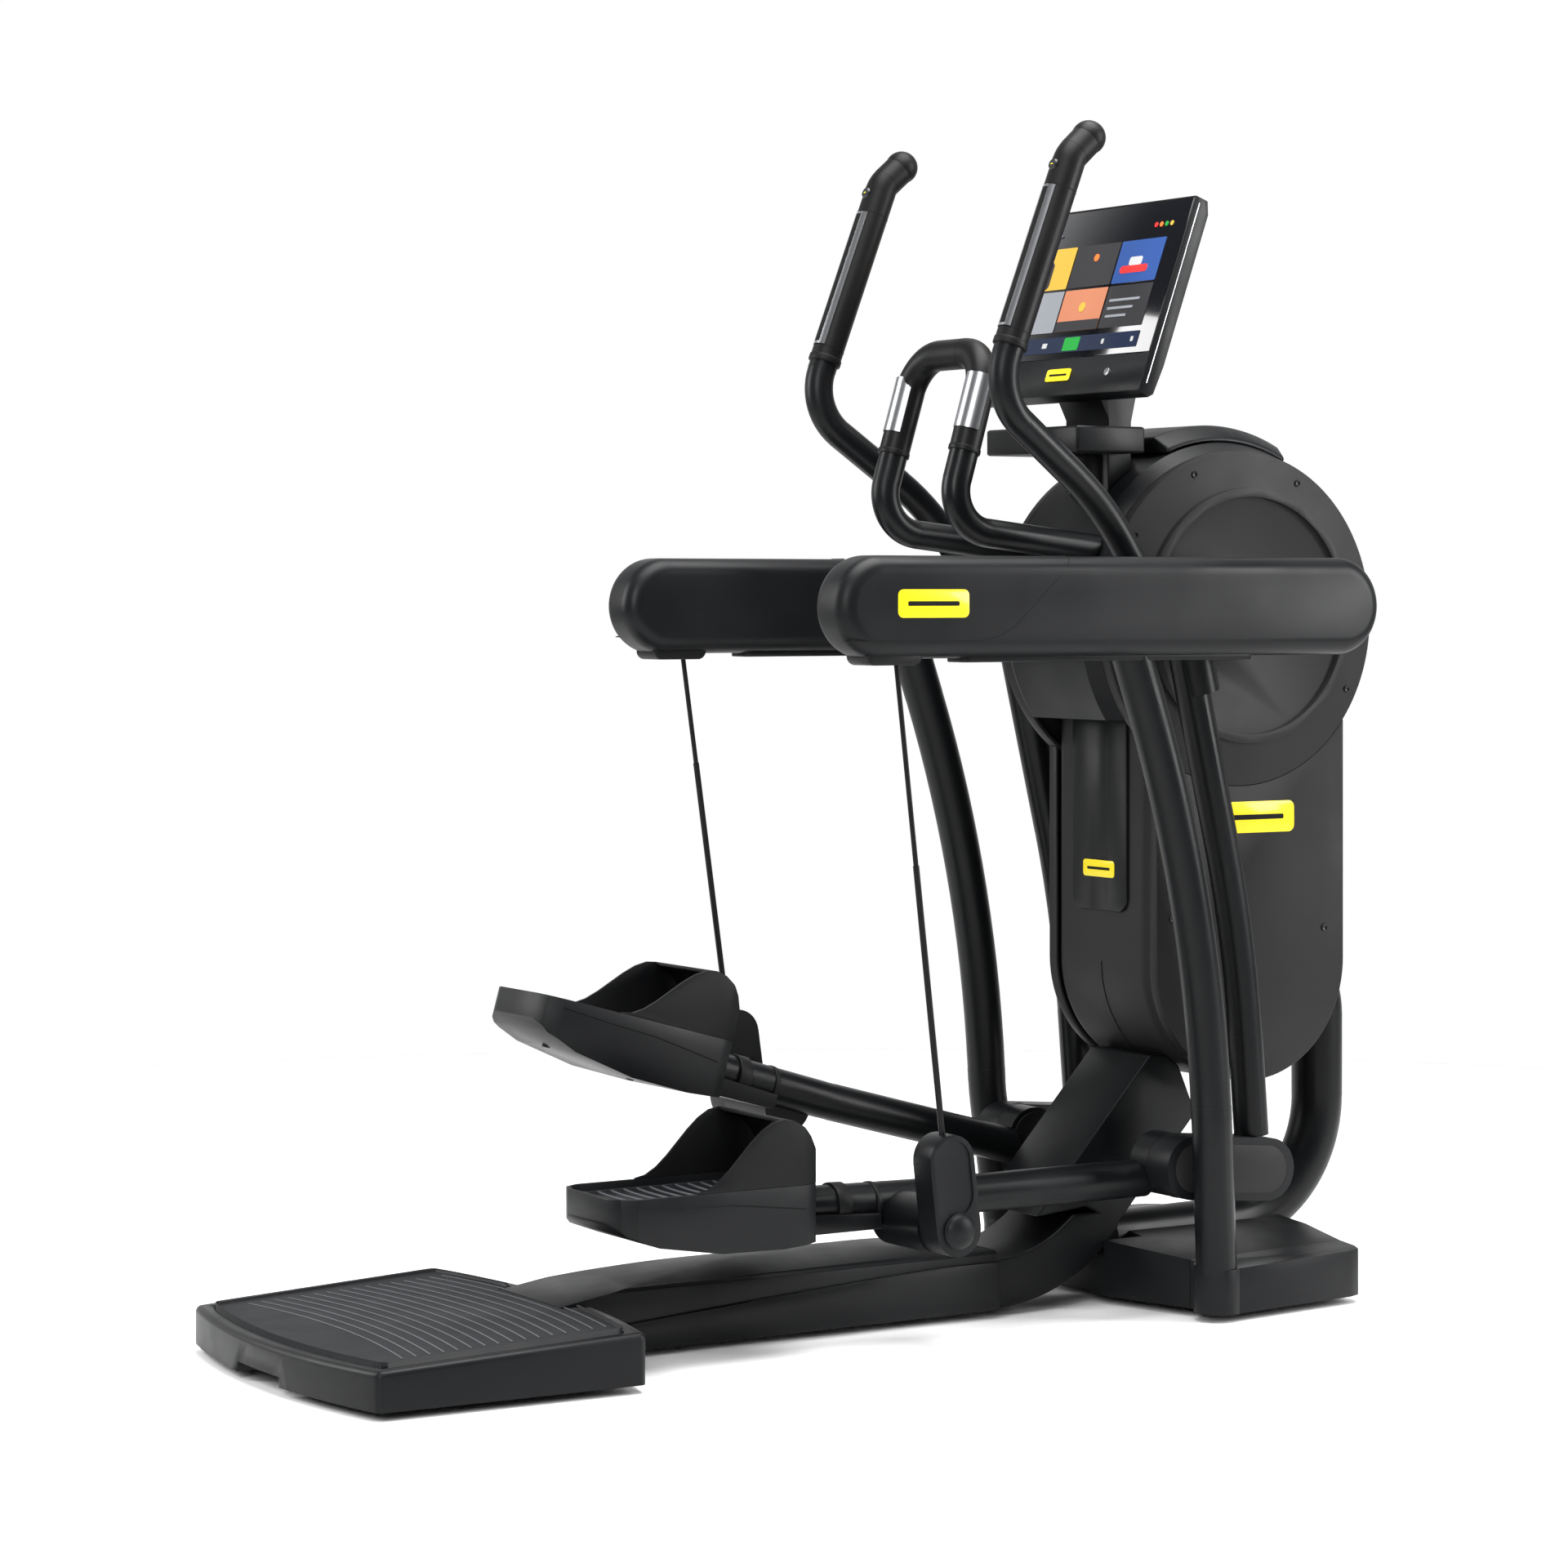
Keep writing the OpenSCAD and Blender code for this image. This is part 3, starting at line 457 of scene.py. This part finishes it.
# ---------------------------------------------------------------- beams
BEAM_R = 0.0725
BEAM_REAR = Vector((-0.214 + BEAM_R, 0, ARM_HINGE.z))
BEAM_FRONT = Vector((0.753 - BEAM_R, 0, ARM_HINGE.z))
BEAM_EDGE = 0.026
COVER_SEAM_Z = 1.012
for side, s in SIDES:
    y_low, y_high = sorted((s * (BEAM_Y - BEAM_HALF_W), s * (BEAM_Y + BEAM_HALF_W)))
    beam = finish_piece(stadium(BEAM_REAR, BEAM_FRONT, BEAM_R, y_low, y_high, BEAM_EDGE, 8),
                        f"{side}_beam_body", MATERIALS["satin_plastic"], "frame")
    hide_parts(f"{side}_beam", f"{side}_beam_cover")
    outer = s * (BEAM_Y + BEAM_HALF_W - 0.0005)
    dip = BEAM_R - math.sqrt(BEAM_R ** 2 - (ARM_HINGE.z - COVER_SEAM_Z) ** 2)
    low_rear = (-0.214 + dip + 0.001, s * (BEAM_Y + 0.012), COVER_SEAM_Z)
    seam = [low_rear, (-0.195, outer - s * 0.008, COVER_SEAM_Z), (-0.18, outer - s * 0.002, COVER_SEAM_Z),
            (-0.15, outer, COVER_SEAM_Z), (0.02, outer, COVER_SEAM_Z), (0.05, outer, COVER_SEAM_Z + 0.006),
            (0.075, outer, COVER_SEAM_Z + 0.018), (0.155, outer, 1.103),
            (0.172, outer - s * 0.0035, 1.120), (0.180, outer - s * 0.013, 1.1285),
            (0.183, outer - s * 0.026, ARM_HINGE.z + BEAM_R), (0.183, outer - s * 0.06, ARM_HINGE.z + BEAM_R)]
    line_piece(f"{side}_beam_cover_seam", seam, "frame")
    under = ARM_HINGE.z - BEAM_R
    roller = stadium(Vector((-0.150, 0, under + 0.004)), Vector((-0.085, 0, under + 0.004)), 0.013,
                     s * BEAM_Y - 0.030, s * BEAM_Y + 0.030, 0.004, 3, 32)
    finish_piece(roller, f"{side}_cable_guide", MATERIALS["pedal_plastic"], "frame")
    bracket = plate((0.52, 0.050, 0.008), 0.002, 2, 0.012)
    turned(bracket, Matrix.Translation((0.26, s * BEAM_Y, under + 0.002)) @ Matrix.Rotation(math.pi, 4, "X"))
    finish_piece(bracket, f"{side}_beam_bracket", MATERIALS["frame_paint"], "frame")
    cap = sleeve(Vector((ARM_HINGE.x, s * 0.249, ARM_HINGE.z)),
                 Vector((ARM_HINGE.x, s * 0.257, ARM_HINGE.z)), 0.056)
    finish_piece(cap, f"{side}_hub_collar", MATERIALS["pedal_plastic"], "frame")

# ---------------------------------------------------------------- tower
TOWER = Vector((0.658, 0, 0.512))
TOWER_R = 0.182
TOWER_TOP = 0.8856
bm = bmesh.new()
bmesh.ops.create_circle(bm, cap_ends=True, segments=96, radius=TOWER_R)
for v in bm.verts:
    if v.co.y > 1e-4:
        v.co.x = math.copysign(TOWER_R, v.co.x) if abs(v.co.x) > 0.5 * TOWER_R else v.co.x * 2
        v.co.y = TOWER_TOP - TOWER.z
bmesh.ops.remove_doubles(bm, verts=bm.verts, dist=1e-4)
out = bmesh.ops.extrude_face_region(bm, geom=bm.faces[:])
bmesh.ops.translate(bm, verts=[v for v in out["geom"] if isinstance(v, bmesh.types.BMVert)], vec=(0, 0, 0.24))
bmesh.ops.recalc_face_normals(bm, faces=bm.faces)
rims = [e for e in sharp_edges(bm, 60)
        if abs(e.verts[0].co.z - e.verts[1].co.z) < 1e-6
        and max(v.co.y for v in e.verts) < TOWER_TOP - TOWER.z + 1e-6
        and min(v.co.y for v in e.verts) < TOWER_TOP - TOWER.z - 1e-4]
rounded_edges(bm, rims, 0.034, 6)
turned(bm, Matrix.Translation((TOWER.x, 0.12, TOWER.z)) @ Matrix.Rotation(math.pi / 2, 4, "X"))
shell = finish_piece(bm, "tower_shell_rounded", MATERIALS["warm_grey_plastic"], "frame")
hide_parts("tower_shell")
hollow = shell.modifiers.new("Wall", "SOLIDIFY")
hollow.thickness = 0.004
hollow.offset = -1
line_piece("tower_rear_seam", [(TOWER.x - TOWER_R * math.cos(math.radians(a)) - 0.0004, 0,
                                TOWER.z - TOWER_R * math.sin(math.radians(a))) for a in range(0, 75, 6)],
           "frame", 0.0009)
for side, s in SIDES:
    face_y = s * COVER_Y
    for k, (x, z) in enumerate(((0.505, 0.585), (0.800, 0.560))):
        screw_head(f"{side}_tower_screw_{k}", (x, face_y + s * 0.0006, z), (0, s, 0), "frame")
    for k, angle in enumerate((112, 148, 62, 20, -28)):
        a = math.radians(angle)
        screw_head(f"{side}_drum_screw_{k}",
                   (DRUM.x + 0.236 * math.cos(a), face_y + s * 0.0006, DRUM.z + 0.236 * math.sin(a)),
                   (0, s, 0), "frame", 0.0055)

# ---------------------------------------------------------------- badges, plain plates with no lettering
def badge(name, place, normal, size, body):
    bm = plate((size[0], size[1], 0.0012), 0.0004, 2, size[1] * 0.22)
    turned(bm, facing(place, normal))
    finish_piece(bm, name, BADGE, body)
    bar = plate((size[0] * 0.72, size[1] * 0.16, 0.0005), 0, 1, size[1] * 0.05)
    turned(bar, facing(Vector(place) + Vector(normal).normalized() * 0.0011, normal))
    finish_piece(bar, f"{name}_bar", SEAM, body)


for side, s in SIDES:
    badge(f"{side}_beam_badge", (-0.062, s * (BEAM_Y + BEAM_HALF_W - 0.0011), 1.064), (0, s, 0),
          (0.120, 0.040), "frame")
    badge(f"{side}_tower_badge", (0.665, s * COVER_Y, 0.735), (0, s, 0), (0.150, 0.048), "frame")
badge("insert_badge", (0.4712, 0.0, 0.655), (-1, 0, 0), (0.080, 0.026), "frame")

# ---------------------------------------------------------------- step ribs
STEP_SLOPE = math.atan((84 - 66) / 430)
TREAD_TOP = 0.066 - 0.003 + 0.004
RIB_ARC = 1.267
for k in range(17):
    x = -0.490 - k * 0.0205
    half = math.asin(0.245 / RIB_ARC)
    bm = bmesh.new()
    profile = [bm.verts.new((x + dx, 0, z)) for dx, z in
               ((-0.0011, -0.0005), (-0.0008, 0.0009), (0.0008, 0.0009), (0.0011, -0.0005))]
    loop = [bm.edges.new((profile[i], profile[(i + 1) % 4])) for i in range(4)]
    centre = Vector((x - RIB_ARC, 0, 0))
    bmesh.ops.rotate(bm, cent=centre, matrix=Matrix.Rotation(-half, 3, "Z"), verts=bm.verts)
    bmesh.ops.spin(bm, geom=profile + loop, cent=centre, axis=(0, 0, 1), angle=2 * half, steps=24)
    bmesh.ops.holes_fill(bm, edges=bm.edges)
    bmesh.ops.recalc_face_normals(bm, faces=bm.faces)
    turned(bm, Matrix.Translation((-0.9, 0, TREAD_TOP)) @ Matrix.Rotation(-STEP_SLOPE, 4, "Y")
           @ Matrix.Translation((0.9, 0, 0)))
    # Step ribs use the lighter rib colour, a painted highlight along each rib.
    finish_piece(bm, f"step_rib_{k:02d}", RIB_HIGHLIGHT, "frame")

# ---------------------------------------------------------------- pedals
PEDAL_Y = 0.139
for side, s in SIDES:
    lifted = Matrix.Identity(4) if s < 0 else (
        Matrix.Translation(LEVER_HINGE) @ Matrix.Rotation(PEDAL_LIFT, 4, "Y") @ Matrix.Translation(-LEVER_HINGE))
    body = f"{side}_lever_body"
    for k in range(11):
        bm = bmesh.new()
        x = -0.475 + k * 0.021
        centre = Vector((x + 0.35, s * PEDAL_Y, 0.236))
        half = math.asin(0.076 / 0.35)
        profile = [bm.verts.new(centre + Vector((-0.35 + dx, 0, z))) for dx, z in
                   ((-0.0016, -0.0005), (-0.0010, 0.0016), (0.0010, 0.0016), (0.0016, -0.0005))]
        loop = [bm.edges.new((profile[i], profile[(i + 1) % 4])) for i in range(4)]
        bmesh.ops.rotate(bm, cent=centre, matrix=Matrix.Rotation(-half, 3, "Z"), verts=bm.verts)
        bmesh.ops.spin(bm, geom=profile + loop, cent=centre, axis=(0, 0, 1), angle=2 * half, steps=14)
        bmesh.ops.holes_fill(bm, edges=bm.edges)
        bmesh.ops.recalc_face_normals(bm, faces=bm.faces)
        turned(bm, lifted)
        # Pedal ribs use the lighter rib colour, a painted highlight along each rib.
        finish_piece(bm, f"{side}_pedal_rib_{k:02d}", RIB_HIGHLIGHT, body)
    parting = []
    for y in (s * (PEDAL_Y - 0.0903), s * (PEDAL_Y + 0.0903)):
        parting.append([lifted @ Vector((x, y, z)) for x, z in
                        ((-0.476, 0.236), (-0.40, 0.231), (-0.32, 0.228), (-0.26, 0.221), (-0.204, 0.214))])
    for k, points in enumerate(parting):
        line_piece(f"{side}_pedal_seam_{k}", points, body, 0.0008)
    for k, (x0, x1, r) in enumerate(((-0.118, -0.096, 0.0335), (-0.052, -0.044, 0.0315))):
        ring = sleeve(Vector((x0, s * 0.150, 0.2030 - 0.02 * (x0 + 0.19))),
                      Vector((x1, s * 0.150, 0.2030 - 0.02 * (x1 + 0.19))), r)
        turned(ring, lifted)
        finish_piece(ring, f"{side}_lever_collar_{k}", MATERIALS["pedal_plastic"], body)
    for k, x in enumerate((-0.44, -0.29)):
        p = lifted @ Vector((x, s * PEDAL_Y, 0.1775 if k == 0 else 0.1605))
        screw_head(f"{side}_pedal_screw_{k}", p, lifted.to_3x3() @ Vector((0, 0, -1)), body, 0.007)
    disc = sleeve(Vector((LEVER_HINGE.x, s * 0.1568, LEVER_HINGE.z)),
                  Vector((LEVER_HINGE.x, s * 0.153, LEVER_HINGE.z)), 0.0405)
    turned(disc, lifted)
    finish_piece(disc, f"{side}_hub_disc", MATERIALS["pedal_plastic"], body)

# ---------------------------------------------------------------- arms and handlebar
GRIP_WAY = Vector((0.108, 0, 0.280)).normalized()
GRIP_LOW = Vector((0.1286, 0, 1.434))
REARWARD = Vector((-0.93, 0, 0.36))
for side, s in SIDES:
    body = f"{side}_arm_body"
    y = Vector((0, s * 0.250, 0))
    low = GRIP_LOW + y
    strip = patch(low + GRIP_WAY * 0.024, low + GRIP_WAY * 0.246, 0.0245, REARWARD, math.radians(78))
    finish_piece(strip, f"{side}_grip_sensor", SENSOR, body)
    gap = patch(low + GRIP_WAY * 0.028, low + GRIP_WAY * 0.242, 0.0248, REARWARD, math.radians(26))
    finish_piece(gap, f"{side}_grip_sensor_gap", SEAM, body)
    collar = sleeve(low - GRIP_WAY * 0.001, low + GRIP_WAY * 0.010, 0.0256, 0.0018)
    finish_piece(collar, f"{side}_grip_collar", MATERIALS["pedal_plastic"], body)
    for k, d in enumerate((0.0225, 0.2475)):
        ring = sleeve(low + GRIP_WAY * d, low + GRIP_WAY * (d + 0.0014), 0.0246, 0.0003)
        finish_piece(ring, f"{side}_grip_seam_{k}", SEAM, body)
    mark = plate((0.005, 0.0015, 0.0004), 0, 1, 0.0005)
    place = mid(f"{side}_button") + Vector((-0.9336, 0, 0.3584)) * 0.0016
    turned(mark, facing(place, (-0.9336, 0, 0.3584)))
    finish_piece(mark, f"{side}_button_mark", BADGE, f"{side}_button_body")
    capsule_seam = arc_points((LEVER_HINGE.x + 0.006, LEVER_HINGE.z - 0.0005), 0.0475, 75, 285, 30, s * 0.212)
    line_piece(f"{side}_capsule_seam", capsule_seam, body, 0.0010)
    inlay = stadium(LEVER_HINGE + Vector((0.004, 0, 0)), LEVER_HINGE + Vector((0.140, 0, -0.012)), 0.036,
                    *sorted((s * 0.2495, s * 0.2518)), 0.0010, 2, 48)
    finish_piece(inlay, f"{side}_capsule_inlay", MATERIALS["warm_grey_plastic"], body)

BAR_LOW = Vector((0.156, 0, 1.2905))
BAR_WAY = Vector((0.044, 0, 0.1465)).normalized()
for side, s in SIDES:
    base = BAR_LOW + Vector((0, s * 0.095, 0))
    sensor = patch(base + BAR_WAY * 0.030, base + BAR_WAY * 0.115, 0.0236,
                   Vector((-0.9, s * 0.25, 0.3)), math.radians(150))
    finish_piece(sensor, f"{side}_bar_sensor", SENSOR, "frame")
    ring = sleeve(base - BAR_WAY * 0.004, base + BAR_WAY * 0.004, 0.0244, 0.0012)
    finish_piece(ring, f"{side}_bar_collar", MATERIALS["pedal_plastic"], "frame")

# ---------------------------------------------------------------- cable links
for side, s in SIDES:
    pin = LINK_PIN[side]
    body = f"{side}_link_pin_body"
    dome = bmesh.new()
    bmesh.ops.create_uvsphere(dome, u_segments=48, v_segments=24, radius=0.026)
    bmesh.ops.scale(dome, vec=(1, 0.62, 1), verts=dome.verts)
    turned(dome, Matrix.Translation((pin.x, s * 0.3165, pin.z)))
    finish_piece(dome, f"{side}_link_knob", MATERIALS["satin_plastic"], body)

# ---------------------------------------------------------------- display
OUT = Vector((-math.cos(DISPLAY_LEAN), 0, math.sin(DISPLAY_LEAN)))
UP = Vector((math.sin(DISPLAY_LEAN), 0, math.cos(DISPLAY_LEAN)))


def on_display(across, up, out=0.0):
    """Place on the display's face: across to the user's right, up from its foot, out to the user."""
    foot = Vector((0.390, 0, 1.380))
    return foot + UP * up + OUT * out + Vector((0, -across, 0))


def tile(name, left, right, low, high, mat, out=0.0003, thick=0.0004, corner=0.002):
    bm = plate((right - left, high - low, thick), 0, 1, corner, 4)
    turned(bm, facing(on_display((left + right) / 2, (low + high) / 2, out), OUT, UP))
    return finish_piece(bm, name, mat, "frame")


SCREEN = {
    "yellow": glow("Screen amber", (0.48, 0.30, 0.04), 0.25),
    "dark": glow("Screen dark grey", (0.022, 0.022, 0.024), 0.3),
    "blue": glow("Screen blue", (0.018, 0.055, 0.20), 0.3),
    "pale": glow("Screen pale grey", (0.20, 0.21, 0.23), 0.25),
    "sunset": glow("Screen orange", (0.40, 0.15, 0.08), 0.25),
    "green": glow("Screen green", (0.01, 0.22, 0.03), 0.4),
    "orange": glow("Screen small orange", (0.9, 0.12, 0.02), 0.8),
    "white": glow("Screen white", (0.4, 0.4, 0.4), 0.3),
    "red": glow("Screen red", (0.6, 0.02, 0.02), 0.6),
    "navy": glow("Screen navy", (0.008, 0.014, 0.035), 0.3),
}
COLUMNS = (-0.172, -0.058, 0.056, 0.170)
ROWS = (0.105, 0.178, 0.252)
TILE_GAP = 0.002
PLAN = (("pale", "sunset", "dark"), ("yellow", "dark", "blue"))
for r, row in enumerate(PLAN):
    for c, colour in enumerate(row):
        tile(f"screen_tile_{r}{c}", COLUMNS[c] + TILE_GAP, COLUMNS[c + 1] - TILE_GAP,
             ROWS[r] + TILE_GAP, ROWS[r + 1] - TILE_GAP,
             SCREEN[colour])
tile("screen_bar", -0.172, 0.170, 0.072, 0.098, SCREEN["navy"])
tile("screen_start", -0.020, 0.020, 0.074, 0.096, SCREEN["green"], 0.0008)
tile("screen_sun", -0.008, 0.008, 0.138, 0.154, SCREEN["yellow"], 0.0008, corner=0.0078)
tile("screen_horizon", -0.056, 0.054, 0.107, 0.124, SCREEN["dark"], 0.0008)
tile("screen_runner", -0.128, -0.108, 0.182, 0.228, SCREEN["dark"], 0.0008, corner=0.008)
tile("screen_boat", 0.072, 0.140, 0.196, 0.208, SCREEN["red"], 0.0008, corner=0.005)
tile("screen_boat_top", 0.090, 0.122, 0.208, 0.222, SCREEN["white"], 0.0008, corner=0.004)
tile("screen_dial", -0.006, 0.006, 0.222, 0.234, SCREEN["orange"], 0.0008, corner=0.0058)
for k in range(5):
    tile(f"screen_count_{k}", -0.150 + 0.074 * k + (0.006 if k > 1 else 0), -0.138 + 0.074 * k, 0.081, 0.089,
         SCREEN["white"] if k != 2 else SCREEN["pale"], 0.0007, corner=0.001)
for k in range(3):
    tile(f"screen_line_{k}", 0.068, 0.120 + 0.012 * k, 0.124 + 0.013 * k, 0.128 + 0.013 * k,
         SCREEN["pale"], 0.0008,
         corner=0.0008)
for k, colour in enumerate(("red", "orange", "green", "yellow")):
    tile(f"screen_light_{k}", 0.128 + 0.013 * k, 0.136 + 0.013 * k, 0.268, 0.276,
         SCREEN[colour], 0.0008, corner=0.0038)
tile("screen_heading", -0.168, -0.110, 0.270, 0.274, SCREEN["pale"], 0.0008, corner=0.0008)
badge("display_badge", on_display(-0.010, 0.034, 0.0002), OUT, (0.062, 0.020), "frame")
dial = sleeve(on_display(0.115, 0.034, -0.0005), on_display(0.115, 0.034, 0.0012), 0.006, 0.0004)
finish_piece(dial, "display_knob", SENSOR, "frame")
for s in (-1, 1):
    edge = plate((0.0016, 0.290, 0.0012), 0.0004, 1, 0.0006, 2)
    turned(edge, facing(on_display(s * 0.2098, 0.16, -0.010), (0, -s, 0), UP))
    finish_piece(edge, f"display_edge_{'left' if s < 0 else 'right'}", SENSOR, "frame")

# ---------------------------------------------------------------- stage, lights, camera
CAMERA = Vector((-3.232, -5.063, 1.080))
camera = bpy.data.objects.new("Camera", bpy.data.cameras.new("Camera"))
camera.location = CAMERA
camera.rotation_euler = (math.radians(90), 0, math.radians(-31.75))
camera.data.lens = 93.3
camera.data.sensor_width = 36
camera.data.shift_y = -0.1224
camera.data.clip_start = 0.05
camera.data.clip_end = 100
bpy.context.scene.collection.objects.link(camera)
bpy.context.scene.camera = camera

floor_mat, _ = principled("Pale floor", (0.92, 0.92, 0.92), 0.7)
bm = bmesh.new()
bmesh.ops.create_circle(bm, cap_ends=True, segments=96, radius=3.6)
floor_mesh = bpy.data.meshes.new("floor")
bm.to_mesh(floor_mesh)
bm.free()
floor_mesh.materials.append(floor_mat)
floor = bpy.data.objects.new("floor", floor_mesh)
bpy.context.scene.collection.objects.link(floor)

bpy.context.scene.view_settings.view_transform = "Standard"
world = bpy.data.worlds.new("Studio")
bpy.context.scene.world = world
world.use_nodes = True
tree = world.node_tree
backdrop = tree.nodes["Background"]
backdrop.inputs["Color"].default_value = (1.0, 1.0, 1.0, 1)
way = tree.nodes.new("ShaderNodeTexCoord")
towards = tree.nodes.new("ShaderNodeVectorMath")
towards.operation = "DOT_PRODUCT"
towards.inputs[1].default_value = (0.526, 0.850, 0.0)
ramp = tree.nodes.new("ShaderNodeMapRange")
ramp.interpolation_type = "SMOOTHSTEP"
for socket, value in (("From Min", 0.35), ("From Max", 0.88), ("To Min", 0.07), ("To Max", 1.0)):
    ramp.inputs[socket].default_value = value
tree.links.new(way.outputs["Generated"], towards.inputs[0])
tree.links.new(towards.outputs["Value"], ramp.inputs["Value"])
tree.links.new(ramp.outputs["Result"], backdrop.inputs["Strength"])


def soft_light(name, place, aim, size, power):
    data = bpy.data.lights.new(name, "AREA")
    data.shape = "RECTANGLE"
    data.size, data.size_y = size
    data.energy = power
    light = bpy.data.objects.new(name, data)
    light.location = place
    light.rotation_euler = (Vector(aim) - Vector(place)).to_track_quat("-Z", "Y").to_euler()
    bpy.context.scene.collection.objects.link(light)


MIDDLE = (0, 0, 0.9)
soft_light("Top light", (0.2, -0.6, 4.2), MIDDLE, (3.4, 2.6), 330)
soft_light("Camera-side light", (-3.6, -3.0, 2.6), MIDDLE, (1.1, 2.6), 150)
soft_light("Rear light", (-3.2, 2.6, 2.2), MIDDLE, (1.4, 2.4), 140)
soft_light("Front-side light", (3.2, -2.6, 2.0), MIDDLE, (1.0, 2.6), 170)
